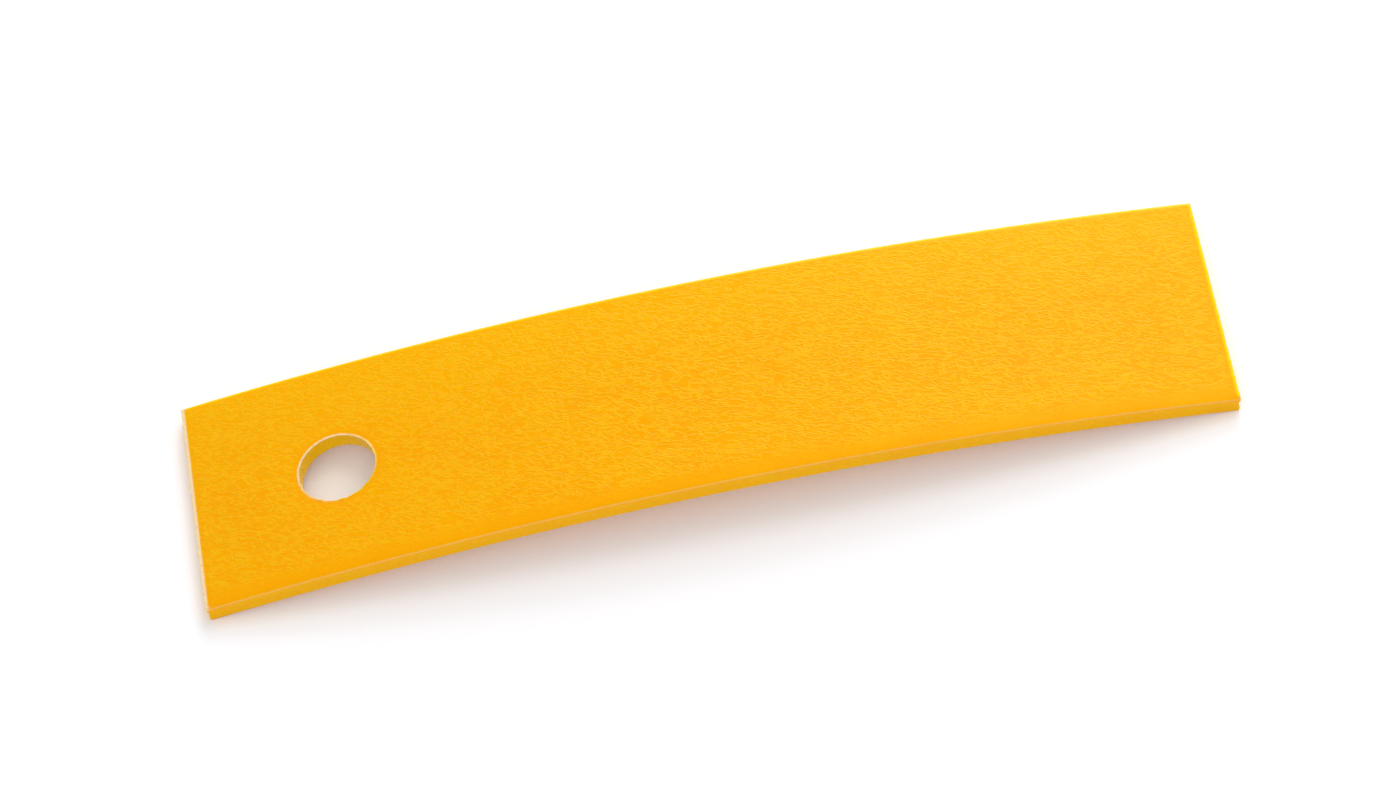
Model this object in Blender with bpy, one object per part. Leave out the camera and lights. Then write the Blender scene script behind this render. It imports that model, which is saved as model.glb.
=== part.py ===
"""A felling wedge of the thin kind: one strip cut from plastic sheet, bowed along its length.

Metres, +Z up. The strip lies on the ends of its hollow underside, hump up, as it is laid on a bench.
+X runs along the strip from the hanging hole's end to the plain end, and +Y runs across it.
The origin is on the ground under the middle of the strip.
"""

import math

import bmesh
import bpy
from mathutils import Matrix, Vector

# The strip, as it is cut from the sheet. The length follows the middle of the sheet's thickness.
STRIP_LENGTH = 0.2500
STRIP_WIDTH = 0.0614
SHEET_THICKNESS = 0.0044
BEND_RADIUS = 0.8600  # of the hollow underside

# The hanging hole, square to the sheet. The setback runs along the strip from its -X end.
HOLE_DIAMETER = 0.0192
HOLE_SETBACK = 0.0364
HOLE_FROM_MIDLINE = 0.0

# The blade draws the top face down beside each long cut, and round the hole.
EDGE_DRAW_WIDTH = 0.0020
EDGE_DRAW_DEPTH = 0.00020
HOLE_DRAW_WIDTH = 0.0008
HOLE_DRAW_DEPTH = 0.00015

# How finely the round shapes are cut.
BEND_STEPS = 60
DRAW_STEPS = 4
HOLE_SIDES = 64
CUTTER_OVERRUN = 0.0020

YELLOW = (1.0, 0.46, 0.004, 1.0)
YELLOW_ROUGHNESS = 0.42


def clear_scene():
    for thing in list(bpy.data.objects):
        bpy.data.objects.remove(thing, do_unlink=True)


def sheet_material():
    material = bpy.data.materials.new("yellow_sheet")
    material.use_nodes = True
    shader = material.node_tree.nodes["Principled BSDF"]
    shader.inputs["Base Color"].default_value = YELLOW
    shader.inputs["Roughness"].default_value = YELLOW_ROUGHNESS
    shader.inputs["Metallic"].default_value = 0.0
    return material


def half_angle():
    """Half of the angle that the whole strip bends through."""
    return STRIP_LENGTH / 2 / (BEND_RADIUS + SHEET_THICKNESS / 2)


def on_strip(angle, across, height):
    """The point at this angle from the middle, this far across, and this high over the underside."""
    radius = BEND_RADIUS + height
    ground = BEND_RADIUS * math.cos(half_angle())
    return Vector((radius * math.sin(angle), across, radius * math.cos(angle) - ground))


def drawn_down(inward, width, depth):
    """How far the top face lies under the sheet's surface, this far in from a cut edge."""
    return depth * (1 - math.sin(math.pi / 2 * inward / width))


def draw_steps(width):
    """Distances in from a cut edge, close together at the edge where the top face turns fastest."""
    return [width * (1 - math.cos(math.pi / 2 * step / DRAW_STEPS)) for step in range(DRAW_STEPS + 1)]


def section_outline():
    """The strip's cross-section as (across, height) pairs, once round from the lower -Y corner."""
    half = STRIP_WIDTH / 2
    back = []
    for inward in draw_steps(EDGE_DRAW_WIDTH):
        back.append((half - inward, SHEET_THICKNESS - drawn_down(inward, EDGE_DRAW_WIDTH, EDGE_DRAW_DEPTH)))
    front = [(-across, height) for across, height in reversed(back)]
    return [(-half, 0.0), (half, 0.0), *back, *front]


def make_strip(material):
    """The bowed blank: the cross-section carried round the bend, closed by a flat cut at each end."""
    shape = bmesh.new()
    outline = section_outline()
    rings = []
    for step in range(BEND_STEPS + 1):
        angle = half_angle() * (2 * step / BEND_STEPS - 1)
        rings.append([shape.verts.new(on_strip(angle, across, height)) for across, height in outline])
    count = len(outline)
    for near, far in zip(rings[:-1], rings[1:], strict=True):
        for i in range(count):
            j = (i + 1) % count
            shape.faces.new((near[i], far[i], far[j], near[j]))
    shape.faces.new(rings[0])
    shape.faces.new(reversed(rings[-1]))
    bmesh.ops.recalc_face_normals(shape, faces=shape.faces)
    mesh = bpy.data.meshes.new("wedge_strip")
    shape.to_mesh(mesh)
    shape.free()
    mesh.materials.append(material)
    strip = bpy.data.objects.new("wedge_strip", mesh)
    bpy.context.scene.collection.objects.link(strip)
    return strip


def make_punch():
    """The punch that cuts the hole, flared at the top face where it draws the plastic in."""
    radius = HOLE_DIAMETER / 2
    profile = [(radius, -CUTTER_OVERRUN)]
    for outward in draw_steps(HOLE_DRAW_WIDTH):
        sunk = drawn_down(outward, HOLE_DRAW_WIDTH, HOLE_DRAW_DEPTH)
        profile.append((radius + outward, SHEET_THICKNESS - sunk))
    widest = radius + HOLE_DRAW_WIDTH + CUTTER_OVERRUN
    rise = CUTTER_OVERRUN * HOLE_DRAW_DEPTH / HOLE_DRAW_WIDTH
    profile.append((widest, SHEET_THICKNESS + rise))
    profile.append((widest, SHEET_THICKNESS + rise + CUTTER_OVERRUN))
    shape = bmesh.new()
    rings = []
    for reach, height in profile:
        rings.append([
            shape.verts.new((reach * math.cos(turn), reach * math.sin(turn), height))
            for turn in (2 * math.pi * side / HOLE_SIDES for side in range(HOLE_SIDES))
        ])
    for low, high in zip(rings[:-1], rings[1:], strict=True):
        for i in range(HOLE_SIDES):
            j = (i + 1) % HOLE_SIDES
            shape.faces.new((low[i], low[j], high[j], high[i]))
    shape.faces.new(reversed(rings[0]))
    shape.faces.new(rings[-1])
    bmesh.ops.recalc_face_normals(shape, faces=shape.faces)
    mesh = bpy.data.meshes.new("hole_punch")
    shape.to_mesh(mesh)
    shape.free()
    punch = bpy.data.objects.new("hole_punch", mesh)
    bpy.context.scene.collection.objects.link(punch)
    angle = HOLE_SETBACK / (BEND_RADIUS + SHEET_THICKNESS / 2) - half_angle()
    seat = Matrix.Translation(on_strip(angle, HOLE_FROM_MIDLINE, 0.0))
    punch.matrix_world = seat @ Matrix.Rotation(angle, 4, "Y")
    punch.hide_render = True
    punch.display_type = "WIRE"
    return punch


def main():
    clear_scene()
    strip = make_strip(sheet_material())
    hole = strip.modifiers.new("hanging_hole", "BOOLEAN")
    hole.operation = "DIFFERENCE"
    hole.solver = "EXACT"
    hole.object = make_punch()
    strip.data.shade_smooth()
    strip.data.set_sharp_from_angle(angle=math.radians(30))


main()
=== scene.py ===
"""Looks of a thin felling wedge: one bowed strip of embossed yellow plastic sheet with a hanging hole."""

import math

import bpy
from mathutils import Matrix, Vector


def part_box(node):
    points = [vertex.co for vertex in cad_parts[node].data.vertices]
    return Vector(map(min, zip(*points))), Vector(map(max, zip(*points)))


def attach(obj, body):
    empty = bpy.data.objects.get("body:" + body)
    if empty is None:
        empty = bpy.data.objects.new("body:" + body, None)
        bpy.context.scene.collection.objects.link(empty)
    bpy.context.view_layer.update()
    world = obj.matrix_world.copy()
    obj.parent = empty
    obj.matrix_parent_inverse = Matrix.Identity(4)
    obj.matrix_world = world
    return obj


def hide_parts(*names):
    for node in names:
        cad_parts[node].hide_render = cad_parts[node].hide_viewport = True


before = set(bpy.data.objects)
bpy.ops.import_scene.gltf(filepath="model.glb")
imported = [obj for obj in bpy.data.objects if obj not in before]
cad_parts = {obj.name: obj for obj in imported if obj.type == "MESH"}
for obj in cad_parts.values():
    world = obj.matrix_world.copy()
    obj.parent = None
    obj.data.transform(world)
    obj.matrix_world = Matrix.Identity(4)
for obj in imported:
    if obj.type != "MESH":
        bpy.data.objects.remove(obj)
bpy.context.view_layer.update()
bpy.ops.object.select_all(action="DESELECT")

# ---------------------------------------------------------------------------------------------------------
# The strip. A blank is sheared from polyethylene sheet with a fine leather grain embossed on its top face,
# a hole is punched near one end to hang it by, and the blank takes a bow along its length. It is modelled
# flat, from the embossed face outwards and down round the cuts to the underside, and bent at the end.
# ---------------------------------------------------------------------------------------------------------
MM = 0.001
SHEET_THICKNESS = 4.4 * MM
BEND_RADIUS = 860.0 * MM
HOLE_RADIUS = 9.6 * MM
HOLE_SETBACK = 36.4 * MM
strip_low, strip_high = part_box("wedge_strip")
middle_radius = BEND_RADIUS + SHEET_THICKNESS / 2
half_bend = math.asin(strip_high.x / (BEND_RADIUS + SHEET_THICKNESS))
half_length = half_bend * middle_radius
half_width = strip_high.y
top = SHEET_THICKNESS / 2
hole_place = Vector((HOLE_SETBACK - half_length, 0.0, top))

# The grid that carries the grain stops this far inside the cuts.
CUT_MARGIN = 1.6 * MM
GRID_ALONG = 400
GRID_ACROSS = 172
grid_half_length = half_length - CUT_MARGIN
grid_half_width = half_width - CUT_MARGIN
bpy.ops.mesh.primitive_grid_add(
    x_subdivisions=GRID_ALONG, y_subdivisions=GRID_ACROSS, size=2.0, location=(0.0, 0.0, top)
)
strip = bpy.context.object
strip.name = "strip"
strip.data.name = "strip"
strip.scale = (grid_half_length, grid_half_width, 1.0)
bpy.ops.object.transform_apply(location=True, rotation=False, scale=True)


def select_where(kind, test):
    """Selects the faces, edges or points of the strip whose middle passes the test."""
    bpy.ops.object.mode_set(mode="EDIT")
    bpy.ops.mesh.select_mode(type=kind)
    bpy.ops.mesh.select_all(action="DESELECT")
    bpy.ops.object.mode_set(mode="OBJECT")
    points = strip.data.vertices
    for item in {"FACE": strip.data.polygons, "EDGE": strip.data.edges, "VERT": points}[kind]:
        if kind == "VERT":
            item.select = test(item.co)
        elif kind == "FACE":
            item.select = test(item.center)
        else:
            item.select = test((points[item.vertices[0]].co + points[item.vertices[1]].co) / 2)
    bpy.ops.object.mode_set(mode="EDIT")


def select_open_rims(test):
    """Selects the open rims of the strip whose edges pass the test."""
    bpy.ops.mesh.select_mode(type="EDGE")
    bpy.ops.mesh.select_all(action="DESELECT")
    bpy.ops.mesh.select_non_manifold(
        use_wire=True, use_boundary=True, use_multi_face=False, use_non_contiguous=False, use_verts=False
    )
    bpy.ops.object.mode_set(mode="OBJECT")
    points = strip.data.vertices
    kept = [
        edge.index for edge in strip.data.edges
        if edge.select and test((points[edge.vertices[0]].co + points[edge.vertices[1]].co) / 2)
    ]
    bpy.ops.object.mode_set(mode="EDIT")
    bpy.ops.mesh.select_all(action="DESELECT")
    bpy.ops.object.mode_set(mode="OBJECT")
    for index in kept:
        strip.data.edges[index].select = True
    bpy.ops.object.mode_set(mode="EDIT")


# The grid opens where the punch comes through, and even rings fill in between the gap and the round rim.
HOLE_PATCH = 12.6 * MM
HOLE_RIM = 1.3 * MM
HOLE_RINGS = 8


def near_hole(place):
    return max(abs(place.x - hole_place.x), abs(place.y)) < HOLE_PATCH + 1.0 * MM


select_where("FACE", lambda place: max(abs(place.x - hole_place.x), abs(place.y)) < HOLE_PATCH)
bpy.ops.mesh.delete(type="FACE")
select_open_rims(near_hole)
bpy.ops.object.mode_set(mode="OBJECT")
rim_points = sum(vertex.select for vertex in strip.data.vertices)
bpy.ops.object.mode_set(mode="EDIT")
bpy.ops.mesh.primitive_circle_add(vertices=rim_points, radius=HOLE_RADIUS + HOLE_RIM, location=hole_place)
select_open_rims(near_hole)
bpy.ops.mesh.bridge_edge_loops(number_cuts=HOLE_RINGS, interpolation="LINEAR")

# The punch's cut, from the face to the underside: how far outside the punch each ring lies and how deep.
# The face is drawn in, a small burr stands up at its rim, and the wall under it is nearly straight.
HOLE_CUT = (
    (0.90, 0.012), (0.58, 0.030), (0.34, 0.045), (0.20, 0.030), (0.10, -0.020), (0.01, -0.050), (-0.09, -0.030),
    (-0.14, 0.060), (-0.08, 0.200), (0.00, 0.450), (0.01, 1.200), (0.00, 2.200), (-0.02, 3.200), (-0.03, 3.900),
    (-0.02, 4.180), (0.06, 4.330), (0.22, 4.400),
)
select_open_rims(lambda place: (place - hole_place).length < HOLE_RADIUS + HOLE_RIM + 0.1 * MM)
reach = HOLE_RADIUS + HOLE_RIM
sunk = 0.0
for over, under in HOLE_CUT:
    new_reach = HOLE_RADIUS + over * MM
    grow = new_reach / reach
    bpy.ops.mesh.extrude_region_move()
    bpy.ops.transform.resize(value=(grow, grow, 1.0), center_override=hole_place)
    bpy.ops.transform.translate(value=(0.0, 0.0, (sunk - under) * MM))
    reach = new_reach
    sunk = under

# The blade's cuts round the outside. Each step says how deep it lies, how far it stands out from the grid at
# the long sides, and how far at the ends. The long sides roll over a soft shoulder into a plain wall. The
# ends are cropped in one stroke, which leaves a sharp lip, a torn hollow under it and a rounded foot.
OUTER_CUT = (
    (0.010, 0.45, 0.50), (0.030, 0.80, 0.90), (0.060, 1.05, 1.20), (0.095, 1.22, 1.40), (0.145, 1.36, 1.52),
    (0.220, 1.47, 1.59), (0.310, 1.54, 1.60), (0.430, 1.58, 1.52), (0.750, 1.59, 1.26), (1.250, 1.57, 1.06),
    (1.850, 1.55, 1.08), (2.450, 1.55, 1.28), (3.050, 1.57, 1.48), (3.550, 1.59, 1.52), (3.950, 1.58, 1.44),
    (4.200, 1.52, 1.28), (4.340, 1.38, 1.06), (4.400, 1.12, 0.74),
)
select_open_rims(lambda place: place.z > top - 0.001 * MM and not near_hole(place))
reach_x, reach_y, sunk = grid_half_length, grid_half_width, 0.0
for under, past_side, past_end in OUTER_CUT:
    new_x = grid_half_length + past_end * MM
    new_y = grid_half_width + past_side * MM
    bpy.ops.mesh.extrude_region_move()
    bpy.ops.transform.resize(value=(new_x / reach_x, new_y / reach_y, 1.0), center_override=(0.0, 0.0, 0.0))
    bpy.ops.transform.translate(value=(0.0, 0.0, (sunk - under) * MM))
    reach_x, reach_y, sunk = new_x, new_y, under

# The underside closes both rims, and is cut across at even steps so that it can follow the bow.
BOTTOM_STEPS = 25
select_open_rims(lambda place: True)
bpy.ops.mesh.fill(use_beauty=True)
for step in range(1, BOTTOM_STEPS):
    select_where("FACE", lambda place: place.z < 0.0005 * MM - top)
    across = reach_x * (2.0 * step / BOTTOM_STEPS - 1.0)
    bpy.ops.mesh.bisect(plane_co=(across, 0.0, 0.0), plane_no=(1.0, 0.0, 0.0))
bpy.ops.mesh.select_all(action="SELECT")
bpy.ops.mesh.normals_make_consistent(inside=False)
bpy.ops.object.mode_set(mode="OBJECT")


# Five weights say what was done to each place: where the grain is whole, where the blade left a lip, where the
# end was torn, where the plastic was strained pale, partly with painted highlights, and where a painted glow
# stands for light soaking out at a rim.
def ease(low, high, value):
    share = min(max((value - low) / (high - low), 0.0), 1.0)
    return share * share * (3.0 - 2.0 * share)


weights = {name: strip.vertex_groups.new(name=name) for name in ("grain", "lip", "torn", "pale", "rim")}
for vertex in strip.data.vertices:
    place = vertex.co
    to_end = half_length - abs(place.x)
    to_side = half_width - abs(place.y)
    to_front = half_width + place.y
    to_left = half_length + place.x
    to_hole = (place - hole_place).xy.length - HOLE_RADIUS
    depth = top - place.z
    grain = ease(0.5 * MM, 2.2 * MM, min(to_end, to_side, to_hole)) if depth < 0.2 * MM else 0.0
    end_lip = ease(1.10 * MM, 0.70 * MM, to_end) * ease(0.6 * MM, 0.2 * MM, depth)
    side_lip = ease(0.5 * MM, 0.1 * MM, to_side) * ease(0.6 * MM, 0.2 * MM, depth)
    hole_lip = ease(0.45 * MM, 0.20 * MM, to_hole) * ease(0.45 * MM, 0.15 * MM, depth)
    torn = ease(0.3 * MM, 0.9 * MM, depth) * ease(1.2 * MM, 0.7 * MM, to_end) * ease(4.4 * MM, 3.6 * MM, depth)
    # The pale weight is part real strain whitening at the cuts and part painted highlight: the front crease,
    # the lip of the left end only, and the hole's rim, brightest on its back-left side.
    near_left = 1.0 if place.x < 0.0 else 0.0
    spoke = (place - hole_place).xy.normalized()
    painted_crease_highlight = 0.22 * ease(0.50 * MM, 0.15 * MM, to_front) * ease(0.50 * MM, 0.30 * MM, depth)
    pale = max(painted_crease_highlight, end_lip * near_left, hole_lip * (0.50 + 0.50 * (0.8 * spoke.y - 0.6 * spoke.x)))
    grain *= ease(0.5 * MM, 7.0 * MM, to_front)
    # The rim weight is a painted glow for light soaking out of the plastic: strongest round the hole, then
    # along the back edge and right end, fainter over the cut walls and the front crease.
    if to_left < 1.0 * MM:
        rim = 0.0
    elif to_front < 1.0 * MM:
        rim = 0.20 * ease(0.45 * MM, 0.15 * MM, to_side) * ease(0.45 * MM, 0.25 * MM, depth)
    else:
        rim = ease(1.0 * MM, 0.35 * MM, min(to_end, to_side)) * ease(0.55 * MM, 0.25 * MM, depth)
    if to_hole < 0.15 * MM:
        rim = 0.55
    elif 0.5 * MM < depth < SHEET_THICKNESS - 0.1 * MM:
        rim = 0.22
    shares = {"grain": grain, "lip": max(0.55 * end_lip, hole_lip, 0.10 * side_lip), "torn": torn, "pale": pale, "rim": rim}
    for name, weight in shares.items():
        if weight > 0.0:
            weights[name].add([vertex.index], weight, "REPLACE")
for name in weights:
    values = strip.data.attributes.new(name + "_share", "FLOAT", "POINT")
    for vertex in strip.data.vertices:
        for member in vertex.groups:
            if member.group == weights[name].index:
                values.data[vertex.index].value = member.weight


# The sheet's grain runs a little askew to the cuts, and its wrinkles are about twice as long as wide.
GRAIN_TURN = math.radians(-14.5)
GRAIN_STRETCH = 2.2
bpy.ops.object.empty_add(rotation=(0.0, 0.0, GRAIN_TURN))
grain_guide = bpy.context.object
grain_guide.scale = (GRAIN_STRETCH, 1.0, 1.0)
bpy.ops.object.select_all(action="DESELECT")
strip.select_set(True)
bpy.context.view_layer.objects.active = strip


def roughen(name, weight, direction, amount, size):
    """Displaces one weighted part of the strip by a cloudy pattern, and applies it."""
    pattern = bpy.data.textures.new(name, "CLOUDS")
    pattern.noise_scale = size
    pattern.noise_depth = 1
    shove = strip.modifiers.new(name, "DISPLACE")
    shove.texture = pattern
    shove.texture_coords = "OBJECT"
    shove.texture_coords_object = grain_guide
    shove.direction = direction
    shove.vertex_group = weight
    shove.strength = amount
    shove.mid_level = 0.5
    bpy.ops.object.modifier_apply(modifier=name)


roughen("embossing", "grain", "Z", 0.05 * MM, 0.9 * MM)
roughen("burrs", "lip", "NORMAL", 0.50 * MM, 0.7 * MM)
roughen("tearing", "torn", "NORMAL", 0.40 * MM, 1.5 * MM)
bpy.data.objects.remove(grain_guide)

# The bow. The bend works in the plane of X and Y, so the blank stands on its edge while it is bent.
strip.rotation_euler = (math.radians(-90.0), 0.0, 0.0)
bpy.ops.object.transform_apply(location=False, rotation=True, scale=False)
bow = strip.modifiers.new("bow", "SIMPLE_DEFORM")
bow.deform_method = "BEND"
bow.deform_axis = "Z"
bow.angle = -strip.dimensions.x / middle_radius
bpy.ops.object.modifier_apply(modifier="bow")
strip.rotation_euler = (math.radians(90.0), 0.0, 0.0)
bpy.ops.object.transform_apply(location=False, rotation=True, scale=False)
lowest = min(vertex.co.z for vertex in strip.data.vertices)
strip.location = (0.0, 0.0, -lowest)
bpy.ops.object.transform_apply(location=True, rotation=False, scale=False)
bpy.ops.object.shade_smooth_by_angle(angle=math.radians(50.0))

# The plastic: glossy enough to glint on the grain, and clear enough for light to soak through its edges.
yellow = bpy.data.materials.new("embossed yellow sheet")
yellow.use_nodes = True
nodes = yellow.node_tree.nodes
links = yellow.node_tree.links
shader = nodes["Principled BSDF"]
shader.inputs["Specular IOR Level"].default_value = 0.23
shader.inputs["Specular Tint"].default_value = (1.0, 0.80, 0.0, 1.0)
shader.inputs["Subsurface Weight"].default_value = 0.25
shader.inputs["Subsurface Radius"].default_value = (1.0, 0.22, 0.02)
shader.inputs["Subsurface Scale"].default_value = 3.5 * MM
place = nodes.new("ShaderNodeTexCoord")


def noise_at(size, detail, stretch=(1.0, 1.0, 1.0)):
    """A noise pattern on the strip whose lumps are about this size across."""
    mapping = nodes.new("ShaderNodeMapping")
    mapping.inputs["Scale"].default_value = stretch
    links.new(place.outputs["Object"], mapping.inputs["Vector"])
    pattern = nodes.new("ShaderNodeTexNoise")
    pattern.inputs["Scale"].default_value = 1.0 / size
    pattern.inputs["Detail"].default_value = detail
    links.new(mapping.outputs["Vector"], pattern.inputs["Vector"])
    return pattern.outputs["Fac"]


def spread(value, from_low, from_high, to_low, to_high):
    """Maps a range of one value onto another, and holds it there."""
    node = nodes.new("ShaderNodeMapRange")
    node.inputs["From Min"].default_value = from_low
    node.inputs["From Max"].default_value = from_high
    node.inputs["To Min"].default_value = to_low
    node.inputs["To Max"].default_value = to_high
    links.new(value, node.inputs["Value"])
    return node.outputs["Result"]


def combine(operation, first, second):
    """Adds, multiplies or compares two values, either of which may be a plain number."""
    node = nodes.new("ShaderNodeMath")
    node.operation = operation
    for socket, value in zip(node.inputs, (first, second)):
        if isinstance(value, float):
            socket.default_value = value
        else:
            links.new(value, socket)
    return node.outputs["Value"]


def blend_colours(share, first, second):
    """Mixes two colours, either of which may come from another node."""
    node = nodes.new("ShaderNodeMix")
    node.data_type = "RGBA"
    links.new(share, node.inputs["Factor"])
    for socket, colour in ((node.inputs["A"], first), (node.inputs["B"], second)):
        if isinstance(colour, tuple):
            socket.default_value = colour
        else:
            links.new(colour, socket)
    return node.outputs["Result"]


def share_of(name):
    node = nodes.new("ShaderNodeAttribute")
    node.attribute_name = name + "_share"
    return node.outputs["Fac"]


# The leather grain: short wandering wrinkles, whole on the open face and pressed out towards the cuts.
wander = nodes.new("ShaderNodeTexNoise")
wander.inputs["Scale"].default_value = 1.0 / (1.15 * MM)
wander.inputs["Detail"].default_value = 1.0
wander.inputs["Distortion"].default_value = 0.4
askew = nodes.new("ShaderNodeMapping")
askew.vector_type = "TEXTURE"
askew.inputs["Rotation"].default_value = (0.0, 0.0, GRAIN_TURN)
askew.inputs["Scale"].default_value = (GRAIN_STRETCH, 1.0, 1.0)
links.new(place.outputs["Object"], askew.inputs["Vector"])
links.new(askew.outputs["Vector"], wander.inputs["Vector"])
wrinkle = spread(combine("ABSOLUTE", combine("SUBTRACT", wander.outputs["Fac"], 0.5), 0.0), 0.0, 0.11, 1.0, 0.0)
relief = combine("MULTIPLY", wrinkle, share_of("grain"))
# A cloudy tone varies at random over the sheet; the painted back light is laid over it below.
tone_and_painted_back_light = blend_colours(
    spread(noise_at(14.0 * MM, 2.0), 0.35, 0.65, 0.0, 1.0), (1.0, 0.400, 0.0, 1.0), (1.0, 0.428, 0.0, 1.0)
)
# The face is painted a shade lighter towards its back edge: painted light from the windows behind.
along = nodes.new("ShaderNodeSeparateXYZ")
links.new(place.outputs["Object"], along.inputs["Vector"])
painted_back_light = spread(along.outputs["Y"], 4.0 * MM, 28.0 * MM, 0.0, 1.0)
tone_and_painted_back_light = blend_colours(painted_back_light, tone_and_painted_back_light, (1.0, 0.455, 0.0, 1.0))
# The tops of the wrinkles are painted a shade lighter than the face between them: painted glints off the grain.
painted_wrinkle_glints = blend_colours(combine("MULTIPLY", relief, 0.55), tone_and_painted_back_light, (1.0, 0.560, 0.010, 1.0))
# Painted glow: the rims are painted lemon yellow where the rim weight says.
painted_rim_glow = blend_colours(share_of("rim"), painted_wrinkle_glints, (1.0, 0.72, 0.0, 1.0))
# Strain whitening, and painted highlights on the front crease, the left end's lip and the far side of the
# hole's rim.
strain_pale_and_painted_highlight = blend_colours(
    combine("MULTIPLY", share_of("pale"), spread(noise_at(0.7 * MM, 2.0), 0.28, 0.40, 0.40, 1.0)),
    painted_rim_glow, (1.0, 0.76, 0.46, 1.0)
)
# A few crumbs of white swarf from the cutting are pressed into the face, each under half a millimetre.
crumb = nodes.new("ShaderNodeTexVoronoi")
crumb.inputs["Scale"].default_value = 1.0 / (26.0 * MM)
links.new(place.outputs["Object"], crumb.inputs["Vector"])
crumbs = combine("MULTIPLY", spread(crumb.outputs["Distance"], 0.010, 0.016, 1.0, 0.0), share_of("grain"))
specked = blend_colours(crumbs, strain_pale_and_painted_highlight, (0.95, 0.93, 0.85, 1.0))
links.new(specked, shader.inputs["Base Color"])
links.new(spread(noise_at(6.0 * MM, 3.0), 0.3, 0.7, 0.24, 0.30), shader.inputs["Roughness"])

fine = combine("MULTIPLY", noise_at(0.5 * MM, 2.0), 0.06)
bump = nodes.new("ShaderNodeBump")
bump.inputs["Strength"].default_value = 1.0
bump.inputs["Distance"].default_value = 0.050 * MM
links.new(combine("ADD", relief, fine), bump.inputs["Height"])
links.new(bump.outputs["Normal"], shader.inputs["Normal"])
strip.data.materials.append(yellow)

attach(strip, "root")
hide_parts("wedge_strip")

# ---------------------------------------------------------------------------------------------------------
# The floor, a smooth white table. It takes the strip's shadow and its orange glow, and adds just enough of
# its own light, to the camera and in reflections, to be white away from the strip.
# ---------------------------------------------------------------------------------------------------------
bpy.ops.object.select_all(action="DESELECT")
bpy.ops.mesh.primitive_plane_add(size=12.0, location=(0.0, 0.0, 0.0))
table = bpy.context.object
table.name = "table"
white = bpy.data.materials.new("white table")
white.use_nodes = True
nodes = white.node_tree.nodes
links = white.node_tree.links
nodes.remove(nodes["Principled BSDF"])
paint = nodes.new("ShaderNodeBsdfDiffuse")
paint.inputs["Color"].default_value = (0.94, 0.945, 0.975, 1.0)
glow = nodes.new("ShaderNodeEmission")
path = nodes.new("ShaderNodeLightPath")
seen = combine("MAXIMUM", path.outputs["Is Camera Ray"], path.outputs["Is Glossy Ray"])
seen = combine("MAXIMUM", seen, path.outputs["Is Transmission Ray"])
links.new(combine("MULTIPLY", seen, 0.12), glow.inputs["Strength"])
both = nodes.new("ShaderNodeAddShader")
links.new(paint.outputs["BSDF"], both.inputs[0])
links.new(glow.outputs["Emission"], both.inputs[1])
links.new(both.outputs["Shader"], nodes["Material Output"].inputs["Surface"])
table.data.materials.append(white)

# ---------------------------------------------------------------------------------------------------------
# The light of a small white studio: a big window high behind the strip and a little to its right, a softer
# one overhead towards the viewer, and an even glow from all round.
# ---------------------------------------------------------------------------------------------------------
sky = bpy.data.worlds.new("studio walls")
sky.use_nodes = True
sky.node_tree.nodes["Background"].inputs["Color"].default_value = (1.0, 1.0, 1.0, 1.0)
sky.node_tree.nodes["Background"].inputs["Strength"].default_value = 0.565
bpy.context.scene.world = sky


def softbox(name, turn, height, distance, size, power):
    """A square area light, turned this many degrees round from the back, aimed at the strip."""
    bpy.ops.object.light_add(type="AREA")
    lamp = bpy.context.object
    lamp.name = name
    lamp.data.shape = "SQUARE"
    lamp.data.size = size
    lamp.data.energy = power
    away = Vector((
        math.sin(math.radians(turn)) * math.cos(math.radians(height)),
        math.cos(math.radians(turn)) * math.cos(math.radians(height)),
        math.sin(math.radians(height)),
    ))
    lamp.location = away * distance
    lamp.rotation_euler = away.to_track_quat("Z", "Y").to_euler()
    return lamp


softbox("back window", turn=42.0, height=52.0, distance=1.6, size=1.2, power=8.2)
softbox("low back window", turn=14.0, height=27.0, distance=1.6, size=0.8, power=8.2)
softbox("front window", turn=190.0, height=38.0, distance=1.8, size=1.6, power=7.0)

# ---------------------------------------------------------------------------------------------------------
# The camera, on a long lens, looking down across the strip from its front side.
# ---------------------------------------------------------------------------------------------------------
TARGET = Vector((-0.00062, 0.00475, 0.0))
DISTANCE = 1.4309
TURN = math.radians(1.782)
HEIGHT = math.radians(52.238)
ROLL = math.radians(-12.977)
back = Vector((math.sin(TURN) * math.cos(HEIGHT), -math.cos(TURN) * math.cos(HEIGHT), math.sin(HEIGHT)))
bpy.ops.object.camera_add(location=TARGET + back * DISTANCE)
camera = bpy.context.object
camera.name = "camera"
camera.data.sensor_width = 36.0
camera.data.lens = 153.16
aim = (-back).to_track_quat("-Z", "Y").to_matrix() @ Matrix.Rotation(ROLL, 3, "Z")
camera.rotation_euler = aim.to_euler()
bpy.context.scene.camera = camera
bpy.context.scene.view_settings.view_transform = "Standard"
